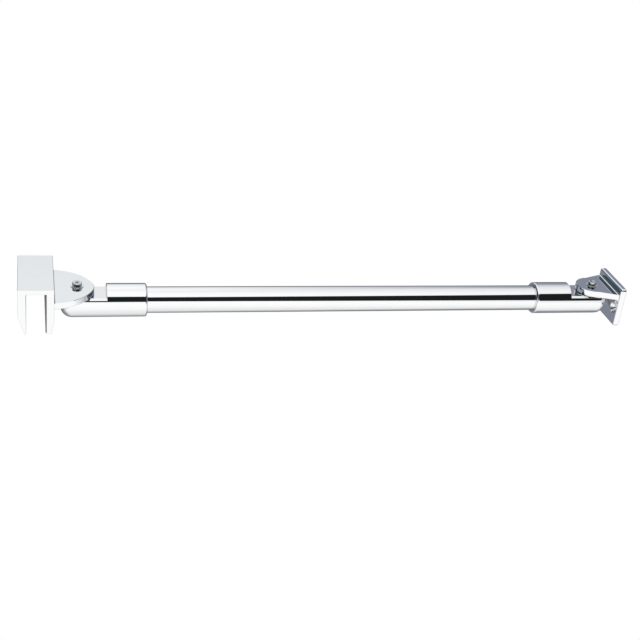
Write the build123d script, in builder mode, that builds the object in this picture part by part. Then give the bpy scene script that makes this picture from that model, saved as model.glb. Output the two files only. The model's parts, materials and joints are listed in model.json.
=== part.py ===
from build123d import *
import os

# Support bar for a glass panel, in millimetres. A fork clamp at one end drops over the top edge of the
# glass, a plate at the other end screws to the wall, and a round tube in two sleeve fittings joins them.
#
# Frame: the origin is where the bar's axis meets the wall, on the back of the wall plate. +X points into
# the wall, so the bar runs along -X. +Z is up, and both pivot screws are vertical.

# Bar
pivot_to_pivot = 394.0
tube_radius = 9.5
tube_wall = 1.2
tube_end_gap = 0.2
tube_end_chamfer = 0.3

# Sleeve fittings: a turned sleeve whose far end is milled flat on top to make a tongue
sleeve_radius = 12.0
sleeve_reach = 48.7  # pivot to the sleeve's mouth
shoulder_reach = 20.5  # pivot to the end of the flat
tongue_overhang = 11.5  # tongue's end past the pivot
tongue_flat = 6.0  # height of the flat above the bar's axis
tongue_end_round = 8.0
flat_half_width = 9.2  # inside the bevels along its edges
flat_bevel_slope = 0.62
mouth_round = 1.5
socket_depth = 24.0
tube_clearance = 0.05
milling_overrun = 1.0  # how far the milling cutter reaches past the sleeve

# Ears, and what stacks up on each tongue
friction_washer_thickness = 0.4
friction_washer_radius = 6.5
ear_thickness = 4.6
ear_bore_clearance = 0.05
ear_edge_break = 0.3
pivot_washer_thickness = 0.5
pivot_washer_radius = 4.5
washer_bore_radius = 2.15
ear_bottom = tongue_flat + friction_washer_thickness
ear_top = ear_bottom + ear_thickness
screw_seat = ear_top + pivot_washer_thickness

# Pivot screws: M4 with a low round head
pivot_screw_radius = 2.0
pivot_head_radius = 3.4
pivot_head_height = 2.6
pivot_head_chamfer = 0.35
pivot_key_across_flats = 3.0
pivot_key_depth = 1.5
pivot_thread_depth = 10.0
thread_runout = 1.0

# Grub screws of the sleeves: M4, from below
sleeve_grub_radius = 2.0
sleeve_grub_length = 3.0
sleeve_grub_from_mouth = 8.0
sleeve_grub_tip_gap = 0.05
sleeve_grub_key_across_flats = 2.0
sleeve_grub_key_depth = 1.6

# Wall bracket
plate_thickness = 4.6
plate_half_width = 19.8
plate_top = 16.4
plate_bottom = -15.2
plate_corner_radius = 2.0
plate_face_reach = 15.1  # pivot to the plate's front face
wall_ear_nose_radius = 12.4  # about the pivot
wall_ear_root_half_width = 18.1
wall_ear_root_fillet = 1.2
wall_hole_spacing = 26.2
wall_hole_height = -2.3
wall_hole_radius = 2.25
wall_hole_sink_radius = 4.3
plate_edge_round = 1.6  # in front
plate_back_edge_round = 0.8

# Glass clamp: a fork block, upside down, with the ear on its bar side
clamp_width = 24.3
clamp_depth = 54.0
clamp_top = 21.9
clamp_bottom = -12.5
clamp_face_reach = 16.1  # pivot to the block's bar side
web_thickness = 3.9
inner_leg_thickness = 5.1
outer_leg_thickness = 5.5
inner_leg_taper_start = -2.5
inner_leg_tip = 3.2
outer_leg_taper_start = 0.7
outer_leg_tip = 0.8
clamp_ear_root_half_width = 26.0
clamp_ear_side_radius = 32.0
clamp_ear_point = 12.4  # where the two side arcs would meet, past the pivot
clamp_ear_nose_radius = 15.0
clamp_ear_root_fillet = 1.0
clamp_edge_break = 0.35

# Inside the fork: a rubber pad on the inner leg, and two M6 screws with nylon tips through the outer leg
pad_thickness = 0.8
pad_depth = 52.0
pad_top = 17.6
pad_bottom = -12.0
pad_corner_radius = 1.0
clamp_screw_radius = 2.95
clamp_screw_bore_radius = 3.0
clamp_screw_spacing = 28.0
clamp_screw_height = 7.0
clamp_screw_recess = 0.3
clamp_screw_length = 3.9
clamp_screw_chamfer = 0.4
clamp_screw_key_across_flats = 3.0
clamp_screw_key_depth = 2.0
tip_radius = 2.4
tip_recess = 0.1  # of its face inside the leg, with the screw backed out
tip_stem_radius = 1.0
tip_stem_length = 1.2
tip_clearance = 0.05

touch = 0.01  # tolerance for finding edges at a known place

# Places worked out from the sizes above
wall_pivot_x = -plate_thickness - plate_face_reach
clamp_pivot_x = wall_pivot_x - pivot_to_pivot
clamp_inner_face = clamp_pivot_x - clamp_face_reach
clamp_outer_face = clamp_inner_face - clamp_width
slot_inner_face = clamp_inner_face - inner_leg_thickness
slot_outer_face = clamp_outer_face + outer_leg_thickness
slot_top = clamp_top - web_thickness
clamp_screw_start = clamp_outer_face + clamp_screw_recess
clamp_screw_end = clamp_screw_start + clamp_screw_length
grub_reach = sleeve_reach - sleeve_grub_from_mouth

# The bar leaves the wall's pivot along -X and the clamp's pivot along +X.
WALL_END = (wall_pivot_x, -1)
CLAMP_END = (clamp_pivot_x, 1)

os.makedirs("parts", exist_ok=True)


def save(part, name):
    """Label a finished piece and write it."""
    part.label = name
    export_step(part, f"parts/{name}.step")


def across_bar(end, reach):
    """Plane square to the bar, a reach from an end's pivot, facing along the bar, its y up."""
    pivot_x, direction = end
    return Plane((pivot_x + direction * reach, 0, 0), x_dir=(0, direction, 0), z_dir=(direction, 0, 0))


def along_bar(end):
    """Upright plane through the bar's axis, its x along the bar from an end's pivot, its y up."""
    pivot_x, direction = end
    return Plane((pivot_x, 0, 0), x_dir=(direction, 0, 0), z_dir=(0, -direction, 0))


def level(end, height):
    """Level plane at a height, its origin on an end's pivot axis, its x along the bar."""
    pivot_x, direction = end
    return Plane((pivot_x, 0, height), x_dir=(direction, 0, 0), z_dir=(0, 0, 1))


def hexagon_radius(across_flats):
    """Corner radius of a hexagon."""
    return across_flats / 3**0.5


def make_fitting(end, name):
    """Turned sleeve with a milled, round-ended tongue, bored for the tube and tapped for its screws."""
    cutter = sleeve_radius + milling_overrun
    bevel_drop = (cutter - flat_half_width) * flat_bevel_slope
    with BuildPart() as fitting:
        with BuildSketch(along_bar(end)) as outline:
            length = tongue_overhang + sleeve_reach
            with Locations((-tongue_overhang, 0)):
                Rectangle(length, sleeve_radius, align=(Align.MIN, Align.MIN))
            tongue_corner = outline.vertices().group_by(Axis.Y)[-1].sort_by(Axis.X)[0]
            fillet(tongue_corner, radius=tongue_end_round)
            mouth_corner = outline.vertices().group_by(Axis.Y)[-1].sort_by(Axis.X)[-1]
            fillet(mouth_corner, radius=mouth_round)
        revolve(axis=Axis((end[0], 0, 0), (1, 0, 0)))
        with BuildSketch(across_bar(end, shoulder_reach)):
            with BuildLine():
                Polyline(
                    (-cutter, tongue_flat - bevel_drop),
                    (-flat_half_width, tongue_flat),
                    (flat_half_width, tongue_flat),
                    (cutter, tongue_flat - bevel_drop),
                    (cutter, cutter),
                    (-cutter, cutter),
                    close=True,
                )
            make_face()
        extrude(amount=-(shoulder_reach + tongue_overhang), mode=Mode.SUBTRACT)
        with BuildSketch(across_bar(end, sleeve_reach)):
            Circle(tube_radius + tube_clearance)
        extrude(amount=-socket_depth, mode=Mode.SUBTRACT)
        with BuildSketch(level(end, tongue_flat)):
            Circle(pivot_screw_radius)
        extrude(amount=-(pivot_thread_depth + thread_runout), mode=Mode.SUBTRACT)
        with BuildSketch(level(end, -sleeve_radius)):
            with Locations((grub_reach, 0)):
                Circle(sleeve_grub_radius)
        extrude(amount=sleeve_radius - tube_radius + tube_clearance, mode=Mode.SUBTRACT)
    save(fitting.part, name)


def make_sleeve_grub_screw(end, name):
    """Headless screw that pins the tube from below, its key hole facing down."""
    tip = -(tube_radius + tube_clearance + sleeve_grub_tip_gap)
    with BuildPart() as screw:
        with BuildSketch(level(end, tip)):
            with Locations((grub_reach, 0)):
                Circle(sleeve_grub_radius)
        extrude(amount=-sleeve_grub_length)
        with BuildSketch(level(end, tip - sleeve_grub_length)):
            with Locations((grub_reach, 0)):
                RegularPolygon(hexagon_radius(sleeve_grub_key_across_flats), 6)
        extrude(amount=sleeve_grub_key_depth, mode=Mode.SUBTRACT)
    save(screw.part, name)


def make_pivot_screw(end, name):
    """Low-head socket screw on the pivot axis."""
    with BuildPart() as screw:
        with BuildSketch(level(end, screw_seat)):
            Circle(pivot_head_radius)
        extrude(amount=pivot_head_height)
        chamfer(screw.faces().sort_by(Axis.Z)[-1].edges(), length=pivot_head_chamfer)
        with BuildSketch(level(end, tongue_flat - pivot_thread_depth)):
            Circle(pivot_screw_radius)
        extrude(amount=screw_seat - tongue_flat + pivot_thread_depth)
        with BuildSketch(level(end, screw_seat + pivot_head_height)):
            RegularPolygon(hexagon_radius(pivot_key_across_flats), 6)
        extrude(amount=-pivot_key_depth, mode=Mode.SUBTRACT)
    save(screw.part, name)


def make_washer(end, height, radius, thickness, name):
    """Flat washer on the pivot axis."""
    with BuildPart() as washer:
        with BuildSketch(level(end, height)):
            Circle(radius)
            Circle(washer_bore_radius, mode=Mode.SUBTRACT)
        extrude(amount=thickness)
    save(washer.part, name)


def ear_root_edges(piece, x):
    """The two edges where an ear's top and underside meet the upright face at x."""
    at_face = piece.edges().filter_by(Axis.Y).filter_by_position(Axis.X, x - touch, x + touch)
    return at_face.filter_by_position(Axis.Z, ear_bottom - touch, ear_top + touch)


def ear_outline_edges(piece, height):
    """The edges of an ear's level face at a height, without the one along its root."""
    level_face = piece.faces().filter_by_position(Axis.Z, height - touch, height + touch)[0]
    return level_face.outer_wire().edges().filter_by(Axis.Y, reverse=True)


def make_wall_bracket():
    """T-shaped plate: two countersunk holes, and an ear whose nose is round about the pivot."""
    plate_height = plate_top - plate_bottom
    plate_middle = (plate_top + plate_bottom) / 2
    back_face = Plane((0, 0, plate_middle), x_dir=(0, 1, 0), z_dir=(1, 0, 0))
    front_face = Plane((-plate_thickness, 0, wall_hole_height), x_dir=(0, -1, 0), z_dir=(-1, 0, 0))
    with BuildPart() as bracket:
        with BuildSketch(back_face):
            RectangleRounded(2 * plate_half_width, plate_height, plate_corner_radius)
        extrude(amount=-plate_thickness)
        fillet(bracket.faces().sort_by(Axis.X)[0].edges(), radius=plate_edge_round)
        fillet(bracket.faces().sort_by(Axis.X)[-1].edges(), radius=plate_back_edge_round)
        with BuildSketch(level(WALL_END, ear_bottom)):
            with BuildLine():
                root_near = (-plate_face_reach, -wall_ear_root_half_width)
                root_far = (-plate_face_reach, wall_ear_root_half_width)
                nose = CenterArc((0, 0), wall_ear_nose_radius, -90, 180)
                Line(root_near, nose @ 0)
                Line(root_far, nose @ 1)
                Line(root_near, root_far)
            make_face()
        extrude(amount=ear_thickness)
        root_edges = ear_root_edges(bracket, -plate_thickness)
        fillet(root_edges, radius=wall_ear_root_fillet)
        for height in (ear_bottom, ear_top):
            chamfer(ear_outline_edges(bracket, height), length=ear_edge_break)
        with BuildSketch(level(WALL_END, ear_bottom)):
            Circle(pivot_screw_radius + ear_bore_clearance)
        extrude(amount=ear_thickness, mode=Mode.SUBTRACT)
        with Locations(front_face):
            with GridLocations(wall_hole_spacing, 0, 2, 1):
                CounterSinkHole(wall_hole_radius, wall_hole_sink_radius, plate_thickness)
    save(bracket.part, "wall_bracket")


def make_glass_clamp():
    """Fork block with its pointed ear, and two tapped holes through the outer leg."""
    half_depth = clamp_depth / 2
    with BuildPart() as clamp:
        with BuildSketch(Plane.XZ.offset(-half_depth)):
            with BuildLine():
                Polyline(
                    (clamp_outer_face, clamp_top),
                    (clamp_inner_face, clamp_top),
                    (clamp_inner_face, inner_leg_taper_start),
                    (slot_inner_face + inner_leg_tip, clamp_bottom),
                    (slot_inner_face, clamp_bottom),
                    (slot_inner_face, slot_top),
                    (slot_outer_face, slot_top),
                    (slot_outer_face, clamp_bottom),
                    (slot_outer_face - outer_leg_tip, clamp_bottom),
                    (clamp_outer_face, outer_leg_taper_start),
                    close=True,
                )
            make_face()
        extrude(amount=clamp_depth)
        fillet(clamp.edges(), radius=clamp_edge_break)
        with BuildSketch(level(CLAMP_END, ear_bottom)) as ear_outline:
            with BuildLine():
                root_near = (-clamp_face_reach, -clamp_ear_root_half_width)
                root_far = (-clamp_face_reach, clamp_ear_root_half_width)
                point = (clamp_ear_point, 0)
                RadiusArc(root_near, point, -clamp_ear_side_radius)
                RadiusArc(point, root_far, -clamp_ear_side_radius)
                Line(root_far, root_near)
            make_face()
            fillet(ear_outline.vertices().sort_by(Axis.X)[-1], radius=clamp_ear_nose_radius)
        extrude(amount=ear_thickness)
        root_edges = ear_root_edges(clamp, clamp_inner_face)
        fillet(root_edges, radius=clamp_ear_root_fillet)
        for height in (ear_bottom, ear_top):
            chamfer(ear_outline_edges(clamp, height), length=ear_edge_break)
        with BuildSketch(level(CLAMP_END, ear_bottom)):
            Circle(pivot_screw_radius + ear_bore_clearance)
        extrude(amount=ear_thickness, mode=Mode.SUBTRACT)
        with BuildSketch(clamp_screw_plane(clamp_outer_face)):
            with GridLocations(clamp_screw_spacing, 0, 2, 1):
                Circle(clamp_screw_bore_radius)
        extrude(amount=outer_leg_thickness, mode=Mode.SUBTRACT)
    save(clamp.part, "glass_clamp")


def clamp_screw_plane(x):
    """Upright plane at x, facing +X, its origin midway between the clamp's two screws."""
    return Plane((x, 0, clamp_screw_height), x_dir=(0, 1, 0), z_dir=(1, 0, 0))


def make_glass_pad():
    """Rubber pad that lines the inner leg and keeps the metal off the glass."""
    middle = (pad_top + pad_bottom) / 2
    with BuildPart() as pad:
        with BuildSketch(Plane((slot_inner_face, 0, middle), x_dir=(0, 1, 0), z_dir=(-1, 0, 0))):
            RectangleRounded(pad_depth, pad_top - pad_bottom, pad_corner_radius)
        extrude(amount=pad_thickness)
    save(pad.part, "glass_pad")


def make_clamp_screw(y, name):
    """Headless screw, its key hole facing away from the bar, bored in front for its tip's stem."""
    with BuildPart() as screw:
        with BuildSketch(clamp_screw_plane(clamp_screw_start)):
            with Locations((y, 0)):
                Circle(clamp_screw_radius)
        extrude(amount=clamp_screw_length)
        chamfer(screw.edges().filter_by(GeomType.CIRCLE), length=clamp_screw_chamfer)
        with BuildSketch(clamp_screw_plane(clamp_screw_start)):
            with Locations((y, 0)):
                RegularPolygon(hexagon_radius(clamp_screw_key_across_flats), 6)
        extrude(amount=clamp_screw_key_depth, mode=Mode.SUBTRACT)
        with BuildSketch(clamp_screw_plane(clamp_screw_end)):
            with Locations((y, 0)):
                Circle(tip_stem_radius + tip_clearance)
        extrude(amount=-(tip_stem_length + tip_clearance), mode=Mode.SUBTRACT)
    save(screw.part, name)


def make_screw_tip(y, name):
    """Nylon disc that bears on the glass, with a stem that lets the screw turn behind it."""
    back_x = clamp_screw_end + tip_clearance
    with BuildPart() as tip:
        with BuildSketch(clamp_screw_plane(back_x)):
            with Locations((y, 0)):
                Circle(tip_radius)
        extrude(amount=slot_outer_face - tip_recess - back_x)
        with BuildSketch(clamp_screw_plane(back_x)):
            with Locations((y, 0)):
                Circle(tip_stem_radius)
        extrude(amount=-tip_stem_length)
    save(tip.part, name)


def make_tube():
    """Round tube, from the bottom of one sleeve to the bottom of the other."""
    start = sleeve_reach - socket_depth + tube_end_gap
    with BuildPart() as tube:
        with BuildSketch(across_bar(CLAMP_END, start)):
            Circle(tube_radius)
            Circle(tube_radius - tube_wall, mode=Mode.SUBTRACT)
        extrude(amount=pivot_to_pivot - 2 * start)
        rims = tube.edges().filter_by(GeomType.CIRCLE).group_by(SortBy.RADIUS)[-1]
        chamfer(rims, length=tube_end_chamfer)
    save(tube.part, "support_tube")


make_tube()
for end_name, end in (("wall", WALL_END), ("clamp", CLAMP_END)):
    make_fitting(end, f"{end_name}_end_fitting")
    make_sleeve_grub_screw(end, f"{end_name}_fitting_grub_screw")
    make_pivot_screw(end, f"{end_name}_pivot_screw")
    make_washer(
        end, ear_top, pivot_washer_radius, pivot_washer_thickness, f"{end_name}_pivot_washer"
    )
    make_washer(
        end,
        tongue_flat,
        friction_washer_radius,
        friction_washer_thickness,
        f"{end_name}_friction_washer",
    )
make_wall_bracket()
make_glass_clamp()
make_glass_pad()
for side, y in (("front", -clamp_screw_spacing / 2), ("rear", clamp_screw_spacing / 2)):
    make_clamp_screw(y, f"{side}_clamp_screw")
    make_screw_tip(y, f"{side}_screw_tip")
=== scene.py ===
import json
import math

import bmesh
import bpy
from mathutils import Matrix, Vector


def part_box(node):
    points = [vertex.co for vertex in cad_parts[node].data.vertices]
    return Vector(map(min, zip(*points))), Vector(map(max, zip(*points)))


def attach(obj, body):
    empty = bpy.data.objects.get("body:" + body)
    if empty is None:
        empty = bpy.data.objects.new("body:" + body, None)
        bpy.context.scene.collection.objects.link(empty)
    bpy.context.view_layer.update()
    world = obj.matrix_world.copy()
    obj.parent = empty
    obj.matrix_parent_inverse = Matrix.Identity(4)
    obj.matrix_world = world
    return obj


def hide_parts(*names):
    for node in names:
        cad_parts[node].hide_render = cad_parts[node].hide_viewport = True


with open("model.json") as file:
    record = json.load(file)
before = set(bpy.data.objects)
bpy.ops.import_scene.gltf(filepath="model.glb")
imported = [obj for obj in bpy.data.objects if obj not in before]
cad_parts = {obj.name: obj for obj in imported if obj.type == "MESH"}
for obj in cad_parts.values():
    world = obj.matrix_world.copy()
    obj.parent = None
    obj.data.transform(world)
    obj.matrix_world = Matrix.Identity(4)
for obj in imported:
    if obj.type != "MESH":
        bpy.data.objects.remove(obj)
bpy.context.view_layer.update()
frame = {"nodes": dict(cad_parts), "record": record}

# Camera: it looks down at the bar from the front, over the fork end, and is rolled a little.
CAMERA_TARGET = Vector((-0.2351, 0.0, -0.0180))
CAMERA_DISTANCE = 0.8826
CAMERA_HEADING = math.radians(15.6)  # from +Y towards +X
CAMERA_DOWN = math.radians(27.87)
CAMERA_ROLL = math.radians(6.87)
SENSOR_WIDTH = 36.0
LENS = 66.3

# Fasteners, in metres
M4_RADIUS = 0.0020
M4_PITCH = 0.0007
M4_NECK = 0.0004
M4_CHAMFER = 0.0004
M6_PITCH = 0.0010
THREAD_DEPTH = 0.6  # of the pitch
FLANK_SLOPE = 3.0  # a thread's root and each of its flanks take a third of the pitch
ROWS_PER_PITCH = 8
GRUB_CHAMFER = 0.0004
PIVOT_HEAD_HEIGHT = 0.0026
PIVOT_HEAD_ROUND = 0.0005
PIVOT_HEAD_UNDERCUT = 0.0001
EDGE_STEPS = 3
WASHER_BORE = 0.00215
STEEL_WASHER_EDGE = 0.00008
NYLON_WASHER_EDGE = 0.00006
TIP_STEM_RADIUS = 0.0010
TIP_STEM_LENGTH = 0.0012
TIP_STEM_CLEARANCE = 0.00005
TIP_EDGE = 0.0002
SCREW_SIDES = 36
WASHER_SIDES = 96
SHARP_ANGLE = math.radians(35)

# Hexagonal key holes: the size across the flats, and the depth, in metres
PIVOT_KEY = (0.0030, 0.0015)
M4_GRUB_KEY = (0.0020, 0.0016)
M6_GRUB_KEY = (0.0030, 0.0020)
KEY_LEAD_IN = 0.0001
KEY_RIM = 1.04  # the rim's radius, against the hexagon's corners

# Turns that lay local +Z, the side with the key hole, in a direction
FACING_DOWN = Matrix.Rotation(math.pi, 4, "X")
FACING_GLASS = Matrix.Rotation(-math.pi / 2, 4, "Y")
FACING_WALL = Matrix.Rotation(math.pi / 2, 4, "Y")
# Turns of the axis that turned metal has its rings about
UPRIGHT = (0, 0, 0)
ALONG_BAR = (0, math.pi / 2, 0)

# Finishes: the two tones that a surface wanders between and, for steel, its roughness
CHROME_TONES = ((0.925, 0.935, 0.945), (0.95, 0.95, 0.95))
NYLON_TONES = ((0.80, 0.79, 0.74), (0.90, 0.89, 0.85))
RUBBER_TONES = ((0.19, 0.195, 0.20), (0.27, 0.27, 0.265))
SCREW_STEEL = ((0.78, 0.79, 0.80), (0.86, 0.87, 0.88), 0.08)
WASHER_STEEL = ((0.88, 0.89, 0.90), (0.96, 0.96, 0.97), 0.30)
GRUB_STEEL = ((0.42, 0.42, 0.43), (0.55, 0.55, 0.56), 0.25)
# How chrome was buffed: its lines are drawn out along the axes where the number is small
BUFFED_ROUND_BAR = (1, 0.05, 0.05)
BUFFED_LEVEL = (0.05, 0.05, 1)

# Stage
FLOOR_HEIGHT = -1.6
FLOOR_SIZE = 10.0
FLOOR_COLOUR = (0.345, 0.345, 0.348, 1)
FLOOR_FADE = (0.65, 1.05)  # distances from under the bar's middle over which it turns into the backdrop
WHITE = (1, 1, 1, 1)
SOFTBOX_SIZE = 6.0
SOFTBOX_POWER = 900.0
SOFTBOX_PLACE = (-0.2, -0.5, 5.0)

# The studio that the chrome reflects. Each row is a wall's tones by height: -90 is straight down, 0 level
# and 90 overhead. The front is behind the camera and the sides are at the bar's two ends.
BLACK = (0.010, 0.014, 0.014)
SLATE = (0.24, 0.26, 0.32)
FRONT_TONES = (
    (-90, (0.82, 0.82, 0.82)),
    (-60, (0.90, 0.90, 0.90)),
    (-40, (1.00, 1.00, 0.995)),
    (-10, (1.05, 1.05, 1.05)),
    (90, (1.05, 1.05, 1.05)),
)
SIDE_TONES = (
    (-90, (0.74, 0.74, 0.74)),
    (-80, (0.70, 0.70, 0.71)),
    (-64, (0.32, 0.32, 0.34)),
    (-24, SLATE),
    (18, (0.25, 0.28, 0.34)),
    (25, (0.29, 0.31, 0.39)),
    (38, (0.46, 0.49, 0.55)),
    (47, (0.66, 0.69, 0.73)),
    (60, (0.84, 0.86, 0.87)),
    (90, (0.97, 0.98, 0.98)),
)
BACK_TONES = (
    (-90, (0.74, 0.74, 0.74)),
    (-80, (0.70, 0.70, 0.71)),
    (-62, (0.45, 0.45, 0.46)),
    (-28, (0.20, 0.20, 0.21)),
    (8, (0.26, 0.27, 0.29)),
    (22, (0.90, 0.93, 0.94)),
    (36, (0.93, 0.96, 0.97)),
    (60, (1.00, 1.01, 1.02)),
    (90, (1.05, 1.05, 1.05)),
)
# Azimuths, in degrees from the front, over which one wall's tones pass into the next
FRONT_TO_SIDE = (12, 110)
FRONT_TO_SIDE_BELOW = (62, 118)
BELOW_TO_ABOVE = (-24.0, -10.0)  # the heights between which the second gives way to the first
SIDE_TO_BACK = (151, 170)
# The dark curtain round the front and sides: its lower edge drops from the middle towards the ends
CURTAIN_TOP = 48.0
CURTAIN_BOTTOM = 12.0
CURTAIN_BOTTOM_ENDS = 1.5
CURTAIN_DROP = (5, 25)
CURTAIN_SOFTNESS = 1.0
# Its tones round the room, by heading: -180 and 180 are behind the bar, -90 is towards the glass
CURTAIN_TONES = (
    (-180, (0.30, 0.33, 0.40)),
    (-160, (0.065, 0.095, 0.120)),
    (-125, (0.065, 0.095, 0.120)),
    (-110, BLACK),
    (-72, BLACK),
    (-62, (0.16, 0.17, 0.20)),
    (-34, (0.16, 0.17, 0.20)),
    (-26, (0.03, 0.035, 0.04)),
    (-3, BLACK),
    (41, BLACK),
    (50, (0.08, 0.09, 0.11)),
    (75, (0.12, 0.13, 0.16)),
    (90, (0.36, 0.39, 0.44)),
    (180, (0.50, 0.53, 0.57)),
)
CURTAIN_END = (126, 138)  # towards the wall
CURTAIN_FAR_END = (150, 162)  # towards the glass


def new_nodes(owner):
    """Function that adds a node with its settings to a material or world, whose node tree is emptied."""
    owner.use_nodes = True
    tree = owner.node_tree
    tree.nodes.clear()

    def add(kind, inputs=None, **settings):
        node = tree.nodes.new(kind)
        for name, value in settings.items():
            setattr(node, name, value)
        for name, value in (inputs or {}).items():
            if isinstance(value, bpy.types.NodeSocket):
                tree.links.new(value, node.inputs[name])
            else:
                node.inputs[name].default_value = value
        return node

    return add


def set_ramp(ramp, stops):
    """Colour ramp from (degrees, colour) stops, with its first and last stops at its ends."""
    elements = ramp.elements
    while len(elements) > 1:
        elements.remove(elements[-1])
    first, last = stops[0][0], stops[-1][0]
    for i, (angle, colour) in enumerate(stops):
        place = (angle - first) / (last - first)
        element = elements[0] if i == 0 else elements.new(place)
        element.position = place
        element.color = (*colour, 1)


def make_world():
    """White studio with a dark curtain in front: the reflections that give polished chrome its lines."""
    world = bpy.data.worlds.new("studio")
    bpy.context.scene.world = world
    add = new_nodes(world)

    def maths(operation, first, second=0.0):
        return add("ShaderNodeMath", {0: first, 1: second}, operation=operation).outputs[0]

    def passage(value, start, end, low=0.0, high=1.0):
        """From low at start to high at end."""
        return add("ShaderNodeMapRange", {0: value, 1: start, 2: end, 3: low, 4: high}).outputs[0]

    def tones_by(value, stops):
        """Colour by a value, which is 0 at the first stop and 1 at the last."""
        ramp = add("ShaderNodeValToRGB", {0: value})
        set_ramp(ramp.color_ramp, stops)
        return ramp.outputs[0]

    def blend(amount, first, second):
        return add("ShaderNodeMix", {0: amount, 6: first, 7: second}, data_type="RGBA").outputs[2]

    direction = add("ShaderNodeTexCoord").outputs["Generated"]
    parts = add("ShaderNodeSeparateXYZ", {0: direction})
    height = maths("DEGREES", maths("ARCSINE", parts.outputs["Z"]))
    towards_front = maths("MULTIPLY", parts.outputs["Y"], -1.0)
    heading = maths("DEGREES", maths("ARCTAN2", parts.outputs["X"], towards_front))
    azimuth = maths("ABSOLUTE", heading)

    up_the_wall = passage(height, -90.0, 90.0)
    front, side, back = (tones_by(up_the_wall, stops) for stops in (FRONT_TONES, SIDE_TONES, BACK_TONES))
    start = passage(height, *BELOW_TO_ABOVE, FRONT_TO_SIDE_BELOW[0], FRONT_TO_SIDE[0])
    end = passage(height, *BELOW_TO_ABOVE, FRONT_TO_SIDE_BELOW[1], FRONT_TO_SIDE[1])
    tones = blend(passage(azimuth, start, end), front, side)
    tones = blend(passage(azimuth, *SIDE_TO_BACK), tones, back)

    bottom = passage(azimuth, *CURTAIN_DROP, CURTAIN_BOTTOM, CURTAIN_BOTTOM_ENDS)
    over_bottom = passage(maths("SUBTRACT", height, bottom), -CURTAIN_SOFTNESS, CURTAIN_SOFTNESS)
    under_top = passage(height, CURTAIN_TOP + CURTAIN_SOFTNESS, CURTAIN_TOP - CURTAIN_SOFTNESS)
    wall_side = passage(heading, *reversed(CURTAIN_END))
    glass_side = passage(heading, -CURTAIN_FAR_END[1], -CURTAIN_FAR_END[0])
    across = maths("MULTIPLY", wall_side, glass_side)
    curtain = maths("MULTIPLY", maths("MULTIPLY", over_bottom, under_top), across)
    cloth = tones_by(passage(heading, -180.0, 180.0), CURTAIN_TONES)
    tones = blend(curtain, tones, cloth)

    studio = add("ShaderNodeBackground", {0: tones, 1: 1.0})
    backdrop = add("ShaderNodeBackground", {0: WHITE, 1: 1.0})
    rays = add("ShaderNodeLightPath")
    both = add(
        "ShaderNodeMixShader",
        {0: rays.outputs["Is Camera Ray"], 1: studio.outputs[0], 2: backdrop.outputs[0]},
    )
    add("ShaderNodeOutputWorld", {0: both.outputs[0]})


def make_camera():
    """Camera at its distance from the target, with its heading, tilt and roll."""
    data = bpy.data.cameras.new("camera")
    data.sensor_width = SENSOR_WIDTH
    data.lens = LENS
    data.clip_start = 0.01
    camera = bpy.data.objects.new("camera", data)
    bpy.context.scene.collection.objects.link(camera)
    forward = Vector(
        (
            math.sin(CAMERA_HEADING) * math.cos(CAMERA_DOWN),
            math.cos(CAMERA_HEADING) * math.cos(CAMERA_DOWN),
            -math.sin(CAMERA_DOWN),
        )
    )
    level_right = Vector((math.cos(CAMERA_HEADING), -math.sin(CAMERA_HEADING), 0))
    level_up = level_right.cross(forward)
    right = level_right * math.cos(CAMERA_ROLL) + level_up * math.sin(CAMERA_ROLL)
    up = right.cross(forward)
    turn = Matrix((right, up, -forward)).transposed().to_4x4()
    camera.matrix_world = Matrix.Translation(CAMERA_TARGET - forward * CAMERA_DISTANCE) @ turn
    bpy.context.scene.camera = camera


def make_floor():
    """Pale floor well under the bar, fading into the backdrop. The chrome doesn't mirror it."""
    half = FLOOR_SIZE / 2
    corners = [(x, y, 0) for x, y in ((-half, -half), (half, -half), (half, half), (-half, half))]
    mesh = bpy.data.meshes.new("floor")
    mesh.from_pydata(corners, [], [(0, 1, 2, 3)])
    floor = bpy.data.objects.new("floor", mesh)
    floor.location = (CAMERA_TARGET.x, 0, FLOOR_HEIGHT)
    bpy.context.scene.collection.objects.link(floor)
    material = bpy.data.materials.new("pale_floor")
    add = new_nodes(material)
    matt = add("ShaderNodeBsdfPrincipled", {"Base Color": FLOOR_COLOUR, "Roughness": 0.9}).outputs[0]
    backdrop = add("ShaderNodeEmission", {"Color": WHITE, "Strength": 1.0}).outputs[0]
    place = add("ShaderNodeTexCoord").outputs["Object"]
    distance = add("ShaderNodeVectorMath", {0: place}, operation="LENGTH").outputs["Value"]
    fade = add(
        "ShaderNodeMapRange",
        {0: distance, 1: FLOOR_FADE[0], 2: FLOOR_FADE[1]},
        interpolation_type="SMOOTHSTEP",
    ).outputs[0]
    both = add("ShaderNodeMixShader", {0: fade, 1: matt, 2: backdrop}).outputs[0]
    add("ShaderNodeOutputMaterial", {0: both})
    mesh.materials.append(material)
    floor.visible_glossy = False


def make_light():
    """Large soft light overhead that the chrome doesn't mirror."""
    data = bpy.data.lights.new("softbox", "AREA")
    data.shape = "SQUARE"
    data.size = SOFTBOX_SIZE
    data.energy = SOFTBOX_POWER
    light = bpy.data.objects.new("softbox", data)
    light.location = SOFTBOX_PLACE
    bpy.context.scene.collection.objects.link(light)
    light.visible_glossy = False


def finish(name, shade):
    """Material whose shade function gets (add, place) and returns the surface's output socket."""
    material = bpy.data.materials.new(name)
    add = new_nodes(material)
    place = add("ShaderNodeTexCoord").outputs["Object"]
    add("ShaderNodeOutputMaterial", {0: shade(add, place)})
    return material


def noise(add, place, scale, detail=2.0, stretch=(1, 1, 1)):
    """Noise at a scale per metre, drawn out along the axes where stretch is small."""
    mapped = add("ShaderNodeMapping", {0: place, 3: stretch}).outputs[0]
    texture = add("ShaderNodeTexNoise", {"Vector": mapped, "Scale": scale, "Detail": detail})
    return texture.outputs[0]


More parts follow.
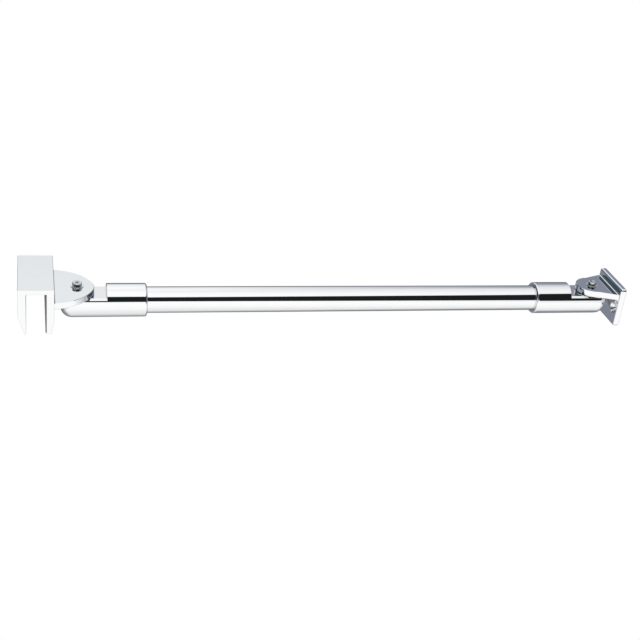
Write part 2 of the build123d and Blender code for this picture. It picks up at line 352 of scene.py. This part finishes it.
def spread(add, value, low, high, centre=0.5, reach=0.2):
    """Noise about its centre, spread over a range."""
    return add(
        "ShaderNodeMapRange", {0: value, 1: centre - reach, 2: centre + reach, 3: low, 4: high}
    ).outputs[0]


def bump(add, height, depth, over=None):
    """Bump of a depth in metres, on top of another bump if there is one."""
    inputs = {"Height": height, "Strength": 1.0, "Distance": depth}
    if over is not None:
        inputs["Normal"] = over
    return add("ShaderNodeBump", inputs).outputs[0]


def tinted(add, value, tones):
    """Colour between a dark and a light tone by a value from 0 to 1."""
    dark, light = tones
    mix = add("ShaderNodeMix", {0: value, 6: (*dark, 1), 7: (*light, 1)}, data_type="RGBA")
    return mix.outputs[2]


def chrome(name, buffed):
    """Chrome plate: a mirror with buffing lines, hazy patches and a faint waviness."""

    def shade(add, place):
        lines = noise(add, place, scale=2600.0, detail=4.0, stretch=buffed)
        haze = noise(add, place, scale=70.0, detail=5.0)
        both = add("ShaderNodeMath", {0: lines, 1: haze}, operation="MULTIPLY").outputs[0]
        rough = spread(add, both, low=0.012, high=0.055, centre=0.27, reach=0.15)
        colour = tinted(add, spread(add, haze, low=0.0, high=1.0), CHROME_TONES)
        waves = bump(add, noise(add, place, scale=30.0), depth=0.000004)
        surface = bump(add, lines, depth=0.0000001, over=waves)
        return add(
            "ShaderNodeBsdfPrincipled",
            {
                "Base Color": colour,
                "Metallic": 1.0,
                "Roughness": rough,
                "Specular Tint": (0.55, 0.56, 0.58, 1),
                "Normal": surface,
            },
        ).outputs[0]

    return finish(name, shade)


def turned_metal(name, axis_place, axis_turn, steel):
    """Steel with fine rings about an axis: a place on it, and the turn that lays local Z along it."""
    *tones, roughness = steel

    def shade(add, place):
        mapped = add(
            "ShaderNodeMapping", {0: place, 1: axis_place, 2: axis_turn}, vector_type="TEXTURE"
        ).outputs[0]
        rings = add(
            "ShaderNodeTexWave",
            {"Vector": mapped, "Scale": 900.0, "Distortion": 1.5, "Detail": 3.0, "Detail Scale": 2.0},
            wave_type="RINGS",
            rings_direction="Z",
        ).outputs["Fac"]
        grain = noise(add, place, scale=1800.0, detail=4.0)
        rough = spread(add, grain, low=roughness * 0.7, high=roughness * 1.35)
        clouds = noise(add, place, scale=250.0, detail=3.0)
        colour = tinted(add, spread(add, clouds, low=0.0, high=1.0), tones)
        surface = bump(add, rings, depth=0.000004, over=bump(add, grain, depth=0.000002))
        return add(
            "ShaderNodeBsdfPrincipled",
            {
                "Base Color": colour,
                "Metallic": 1.0,
                "Roughness": rough,
                "Specular Tint": (0.7, 0.7, 0.7, 1),
                "Normal": surface,
            },
        ).outputs[0]

    return finish(name, shade)


def nylon():
    """Natural nylon: off-white and slightly translucent, with a fine moulded grain."""

    def shade(add, place):
        clouds = noise(add, place, scale=400.0, detail=3.0)
        grain = noise(add, place, scale=5000.0, detail=3.0)
        colour = tinted(add, spread(add, clouds, low=0.0, high=1.0), NYLON_TONES)
        return add(
            "ShaderNodeBsdfPrincipled",
            {
                "Base Color": colour,
                "Roughness": spread(add, grain, low=0.38, high=0.58),
                "Subsurface Weight": 0.25,
                "Subsurface Scale": 0.0008,
                "Normal": bump(add, grain, depth=0.00001),
            },
        ).outputs[0]

    return finish("natural_nylon", shade)


def rubber():
    """Grey rubber sheet: a fine grain, and patches of pale dust."""

    def shade(add, place):
        grain = noise(add, place, scale=3500.0, detail=5.0)
        patches = noise(add, place, scale=180.0, detail=6.0)
        dust = spread(add, patches, low=0.0, high=1.0, centre=0.58, reach=0.12)
        colour = tinted(add, dust, RUBBER_TONES)
        return add(
            "ShaderNodeBsdfPrincipled",
            {
                "Base Color": colour,
                "Roughness": spread(add, grain, low=0.55, high=0.80),
                "Specular IOR Level": 0.35,
                "Normal": bump(add, grain, depth=0.00003),
            },
        ).outputs[0]

    return finish("pad_rubber", shade)


def paint(material, *nodes):
    """Give CAD nodes a material."""
    for node in nodes:
        slots = frame["nodes"][node].data.materials
        slots.clear()
        slots.append(material)


def build_rings(name, rings, sides, place, capped):
    """Mesh from a stack of rings round local Z. A ring is (radius, height); its radius may be a function
    of the angle. Capped, a point closes each end, and its ring is (0, height). Not capped, the last ring
    joins the first."""
    mesh = bmesh.new()
    loops = []
    for radius, height in rings:
        if radius == 0:
            loops.append([mesh.verts.new((0, 0, height))] * sides)
            continue
        loop = []
        for i in range(sides):
            angle = 2 * math.pi * i / sides
            r = radius(angle) if callable(radius) else radius
            loop.append(mesh.verts.new((r * math.cos(angle), r * math.sin(angle), height)))
        loops.append(loop)
    pairs = list(zip(loops, loops[1:]))
    if not capped:
        pairs.append((loops[-1], loops[0]))
    for lower, upper in pairs:
        for i in range(sides):
            j = (i + 1) % sides
            corners = dict.fromkeys((lower[i], lower[j], upper[j], upper[i]))
            mesh.faces.new(list(corners))
    bmesh.ops.recalc_face_normals(mesh, faces=mesh.faces)
    data = bpy.data.meshes.new(name)
    mesh.to_mesh(data)
    mesh.free()
    data.transform(place)
    data.shade_smooth()
    data.set_sharp_from_angle(angle=SHARP_ANGLE)
    piece = bpy.data.objects.new(name, data)
    bpy.context.scene.collection.objects.link(piece)
    return piece


def stand_in(piece, node, material):
    """Let a piece stand for a CAD node, on that node's body."""
    piece.data.materials.append(material)
    body = next(b for b, nodes in frame["record"]["behaviour"]["bodies"].items() if node in nodes)
    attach(piece, body)
    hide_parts(node)


def thread_rings(radius, pitch, bottom, top, chamfer):
    """Rings of a screw thread cut into a cylinder, chamfered at both ends."""
    depth = THREAD_DEPTH * pitch
    steps = round((top - bottom) / pitch * ROWS_PER_PITCH)
    rings = []
    for i in range(steps + 1):
        height = bottom + (top - bottom) * i / steps
        limit = radius - max(0, chamfer - (height - bottom), chamfer - (top - height))

        def ridge(angle, height=height, limit=limit):
            phase = (height / pitch - angle / (2 * math.pi)) % 1
            groove = min(1, max(0, FLANK_SLOPE * (0.5 - abs(phase - 0.5))))
            return min(limit, radius - depth * groove)

        rings.append((ridge, height))
    return rings


def key_rings(key):
    """Rings of a hexagonal key hole in a face at height 0, from its rim to its drilled bottom."""
    across_flats, depth = key
    half = across_flats / 2

    def hexagon(angle):
        return half / math.cos((angle + math.pi / 6) % (math.pi / 3) - math.pi / 6)

    corner = half / math.cos(math.pi / 6)
    return [(corner * KEY_RIM, 0), (hexagon, -KEY_LEAD_IN), (hexagon, -depth), (0, -depth - half / 2)]


def edge_rings(radius, height, edge):
    """Rings of a rounded edge at the top of a cylinder."""
    rings = []
    for i in range(EDGE_STEPS + 1):
        turn = math.pi / 2 * i / EDGE_STEPS
        rings.append((radius - edge + edge * math.cos(turn), height - edge + edge * math.sin(turn)))
    return rings


def make_pivot_screw(end, material):
    """Socket screw with a low round head and a real thread."""
    node = f"{end}_pivot_screw"
    low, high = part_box(node)
    length = high.z - low.z
    radius = (high.x - low.x) / 2
    shank_top = -PIVOT_HEAD_HEIGHT
    rings = [(0, -length)]
    rings += thread_rings(M4_RADIUS, M4_PITCH, -length, shank_top - M4_NECK, M4_CHAMFER)
    rings += [(M4_RADIUS, shank_top - M4_NECK), (M4_RADIUS, shank_top)]
    rings += [(radius - PIVOT_HEAD_UNDERCUT, shank_top), (radius, shank_top + PIVOT_HEAD_UNDERCUT)]
    rings += edge_rings(radius, 0, PIVOT_HEAD_ROUND)
    rings += key_rings(PIVOT_KEY)
    middle = (low + high) / 2
    place = Matrix.Translation((middle.x, middle.y, high.z))
    piece = build_rings(f"{end}_socket_screw", rings, SCREW_SIDES, place, True)
    stand_in(piece, node, material)


def grub_rings(far_end, radius, pitch, length, key):
    """Rings of a headless screw with its key hole at height 0, on top of the rings of its far end."""
    return far_end + thread_rings(radius, pitch, -length, 0, GRUB_CHAMFER) + key_rings(key)


def make_tube_screw(end):
    """Grub screw that locks the tube in a sleeve, screwed in from below."""
    node = f"{end}_fitting_grub_screw"
    low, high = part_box(node)
    middle = (low + high) / 2
    material = turned_metal(f"{end}_grub_steel", middle, UPRIGHT, GRUB_STEEL)
    length = high.z - low.z
    rings = grub_rings([(0, -length)], M4_RADIUS, M4_PITCH, length, M4_GRUB_KEY)
    place = Matrix.Translation((middle.x, middle.y, low.z)) @ FACING_DOWN
    piece = build_rings(f"{end}_tube_screw", rings, SCREW_SIDES, place, True)
    stand_in(piece, node, material)


def make_set_screw(side):
    """Grub screw through the fork's outer leg, bored for the stem of its nylon tip."""
    node = f"{side}_clamp_screw"
    low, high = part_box(node)
    middle = (low + high) / 2
    material = turned_metal(f"{side}_screw_steel", middle, ALONG_BAR, GRUB_STEEL)
    length = high.x - low.x
    bore = TIP_STEM_RADIUS + TIP_STEM_CLEARANCE
    bore_end = TIP_STEM_LENGTH + TIP_STEM_CLEARANCE - length
    far_end = [(0, bore_end), (bore, bore_end), (bore, -length)]
    rings = grub_rings(far_end, (high.z - low.z) / 2, M6_PITCH, length, M6_GRUB_KEY)
    place = Matrix.Translation((low.x, middle.y, middle.z)) @ FACING_GLASS
    piece = build_rings(f"{side}_set_screw", rings, SCREW_SIDES, place, True)
    stand_in(piece, node, material)


def make_washer(node, name, edge, material):
    """Flat washer with softened edges."""
    low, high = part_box(node)
    middle = (low + high) / 2
    radius = (high.x - low.x) / 2
    half = (high.z - low.z) / 2
    corners = (
        (WASHER_BORE, -1, 1),
        (WASHER_BORE, 1, 1),
        (radius, 1, -1),
        (radius, -1, -1),
    )
    rings = []
    for r, side, into_washer in corners:
        on_wall = (r, side * (half - edge))
        on_face = (r + into_washer * edge, side * half)
        rings += [on_wall, on_face] if into_washer == side else [on_face, on_wall]
    piece = build_rings(name, rings, WASHER_SIDES, Matrix.Translation(middle), False)
    stand_in(piece, node, material)


def make_tip(side, material):
    """Nylon screw tip with a rounded edge where it bears on the glass."""
    node = f"{side}_screw_tip"
    low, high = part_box(node)
    radius = (high.z - low.z) / 2
    length = high.x - low.x
    stem = TIP_STEM_RADIUS
    shoulder = TIP_STEM_LENGTH - length
    rings = [(0, -length), (stem - TIP_EDGE, -length), (stem, -length + TIP_EDGE)]
    rings += [(stem, shoulder), (radius, shoulder)]
    rings += edge_rings(radius, 0, TIP_EDGE) + [(0, 0)]
    middle = (low + high) / 2
    place = Matrix.Translation((high.x, middle.y, middle.z)) @ FACING_WALL
    piece = build_rings(f"{side}_nylon_tip", rings, SCREW_SIDES, place, True)
    stand_in(piece, node, material)


def make_pivot(end, nylon_white):
    """Pivot screw with its two washers."""
    low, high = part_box(f"{end}_pivot_washer")
    pivot = (low + high) / 2
    bright = turned_metal(f"{end}_screw_steel", pivot, UPRIGHT, SCREW_STEEL)
    brushed = turned_metal(f"{end}_washer_steel", pivot, UPRIGHT, WASHER_STEEL)
    make_pivot_screw(end, bright)
    make_washer(f"{end}_pivot_washer", f"{end}_flat_washer", STEEL_WASHER_EDGE, brushed)
    make_washer(f"{end}_friction_washer", f"{end}_nylon_washer", NYLON_WASHER_EDGE, nylon_white)


make_camera()
make_world()
make_floor()
make_light()

paint(chrome("tube_chrome", BUFFED_ROUND_BAR), "support_tube")
paint(chrome("fitting_chrome", BUFFED_ROUND_BAR), "wall_end_fitting", "clamp_end_fitting")
paint(chrome("clamp_chrome", BUFFED_LEVEL), "glass_clamp")
paint(chrome("bracket_chrome", BUFFED_LEVEL), "wall_bracket")
paint(rubber(), "glass_pad")

nylon_white = nylon()
for end in ("wall", "clamp"):
    make_pivot(end, nylon_white)
    make_tube_screw(end)
for side in ("front", "rear"):
    make_set_screw(side)
    make_tip(side, nylon_white)

bpy.context.scene.view_settings.view_transform = "Standard"
